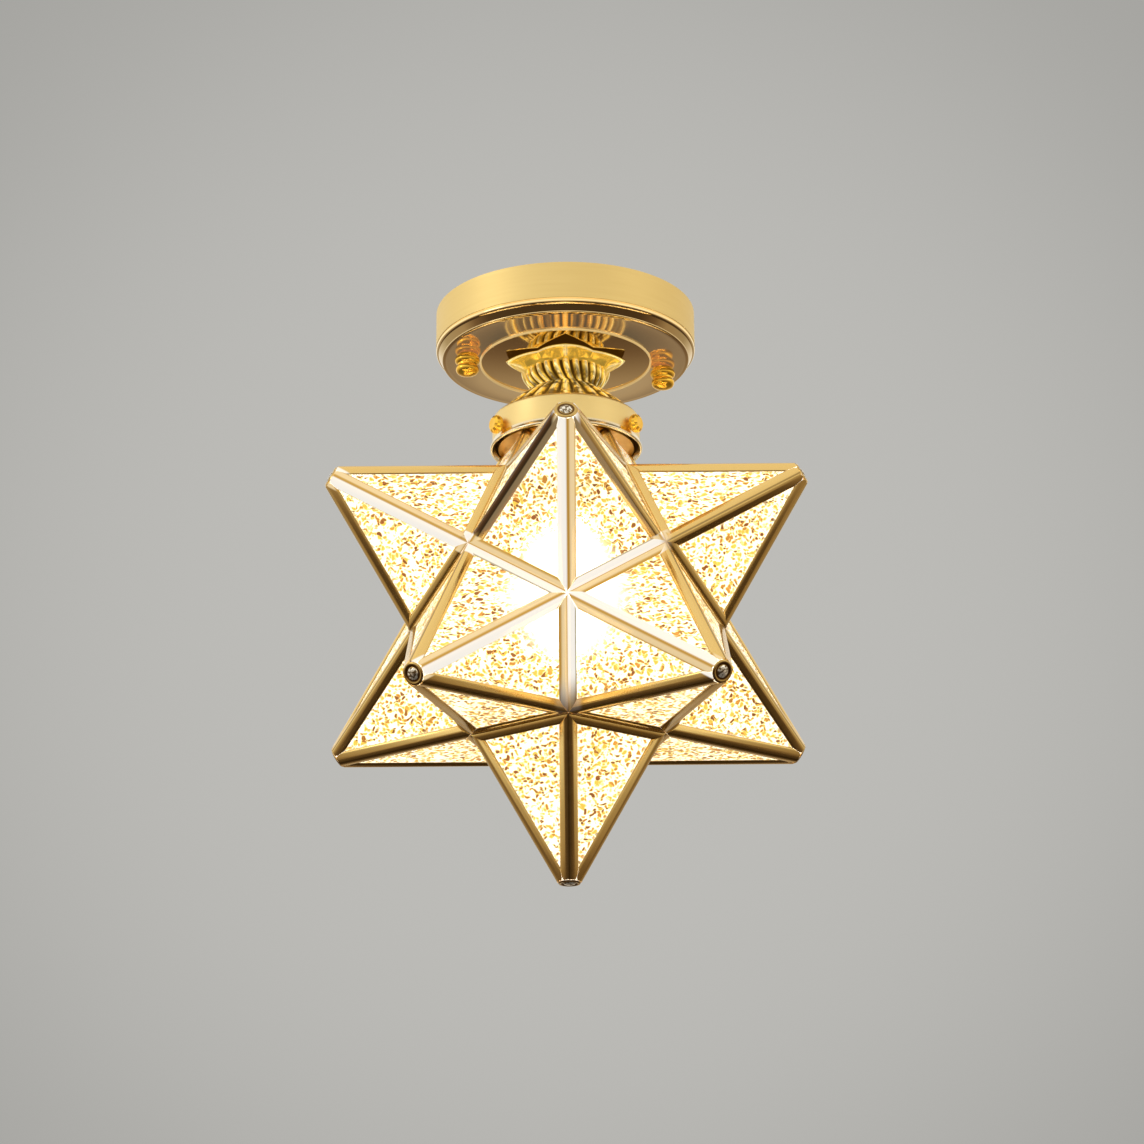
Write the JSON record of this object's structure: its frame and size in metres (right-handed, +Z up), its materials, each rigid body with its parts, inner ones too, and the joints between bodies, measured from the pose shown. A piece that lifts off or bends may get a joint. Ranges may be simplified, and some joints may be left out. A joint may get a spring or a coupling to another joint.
{
  "type": "star ceiling light",
  "caption": "Semi-flush ceiling light: a stellated star of hammered glass in folded brass strips, clamped under a round canopy by thumbscrews, with a candle lamp inside.",
  "frame": {"origin": "on the ceiling plane, at the centre of the crossbar and of the canopy rim", "axes": "+Z up into the ceiling, X along the crossbar; the star hangs along -Z and its front point looks along -Y turned 11 degrees towards -X"},
  "size_m": [0.2024, 0.2002, 0.2455],
  "materials": {
    "polished_brass": "spun and polished, lacquered",
    "satin_brass": "satin, lacquered",
    "cast_brass": "cast and gilded, glossy",
    "strip_brass": "polished folded strip",
    "contact_brass": "bare stamped",
    "hammered_glass": "clear hammered sheet, lit from inside",
    "lamp_glass": "frosted",
    "stem_glass": "clear",
    "filament": "coated light strip",
    "cap_metal": "plain stamped",
    "phenolic": "moulded",
    "porcelain": "glazed",
    "steel": "zinc plated",
    "white_plastic": "moulded",
    "brown_insulation": "extruded",
    "blue_insulation": "extruded"
  },
  "bodies": {
    "fixture": {"canopy": "polished_brass", "canopy_nut": "steel", "canopy_studs": "steel", "crossbar": "steel", "earth_screw": "steel", "gallery": "satin_brass", "gallery_nut": "steel", "lampholder_body": "phenolic", "lampholder_contact": "contact_brass", "lampholder_insert": "porcelain", "lampholder_shell": "contact_brass", "lead_live": "brown_insulation", "lead_neutral": "blue_insulation", "leaf_rosette": "cast_brass", "lock_washer": "steel", "neck_bell": "cast_brass", "neck_knop": "cast_brass", "stud_nuts": "steel", "terminal_block": "white_plastic", "threaded_rod": "steel"},
    "star": {"panes_bottom": "hammered_glass", "panes_lower_1": "hammered_glass", "panes_lower_2": "hammered_glass", "panes_lower_3": "hammered_glass", "panes_lower_4": "hammered_glass", "panes_lower_5": "hammered_glass", "panes_top": "hammered_glass", "panes_upper_1": "hammered_glass", "panes_upper_2": "hammered_glass", "panes_upper_3": "hammered_glass", "panes_upper_4": "hammered_glass", "panes_upper_5": "hammered_glass", "ridges_bottom": "strip_brass", "ridges_lower_1": "strip_brass", "ridges_lower_2": "strip_brass", "ridges_lower_3": "strip_brass", "ridges_lower_4": "strip_brass", "ridges_lower_5": "strip_brass", "ridges_top": "strip_brass", "ridges_upper_1": "strip_brass", "ridges_upper_2": "strip_brass", "ridges_upper_3": "strip_brass", "ridges_upper_4": "strip_brass", "ridges_upper_5": "strip_brass", "valley_strips": "strip_brass", "tip_caps": "strip_brass", "neck_ring": "satin_brass"},
    "bulb": {"bulb_cap": "cap_metal", "bulb_contact": "cap_metal", "bulb_filaments": "filament", "bulb_glass": "lamp_glass", "bulb_insulator": "phenolic", "bulb_stem": "stem_glass"},
    "thumbscrew_1": {"thumbscrew_1": "cast_brass"},
    "thumbscrew_2": {"thumbscrew_2": "cast_brass"},
    "thumbscrew_3": {"thumbscrew_3": "cast_brass"},
    "knob_left": {"knob_left": "cast_brass"},
    "knob_right": {"knob_right": "cast_brass"}
  },
  "joints": [
    {"name": "star_drop", "type": "slide", "parent": "fixture", "child": "star", "axis": [0, 0, -1], "range_m": [0, 0.125]},
    {"name": "bulb_unscrew", "type": "slide", "parent": "fixture", "child": "bulb", "axis": [0, 0, -1], "range_m": [0, 0.023]},
    {"name": "thumbscrew_1_out", "type": "slide", "parent": "fixture", "child": "thumbscrew_1", "axis": [0.1908, 0.9816, 0], "range_m": [0, 0.003]},
    {"name": "thumbscrew_2_out", "type": "slide", "parent": "fixture", "child": "thumbscrew_2", "axis": [-0.9455, -0.3256, 0], "range_m": [0, 0.003]},
    {"name": "thumbscrew_3_out", "type": "slide", "parent": "fixture", "child": "thumbscrew_3", "axis": [0.7547, -0.6561, 0], "range_m": [0, 0.003]},
    {"name": "knob_left_off", "type": "slide", "parent": "fixture", "child": "knob_left", "axis": [0, 0, -1], "range_m": [0, 0.0065]},
    {"name": "knob_right_off", "type": "slide", "parent": "fixture", "child": "knob_right", "axis": [0, 0, -1], "range_m": [0, 0.0065]}
  ]
}
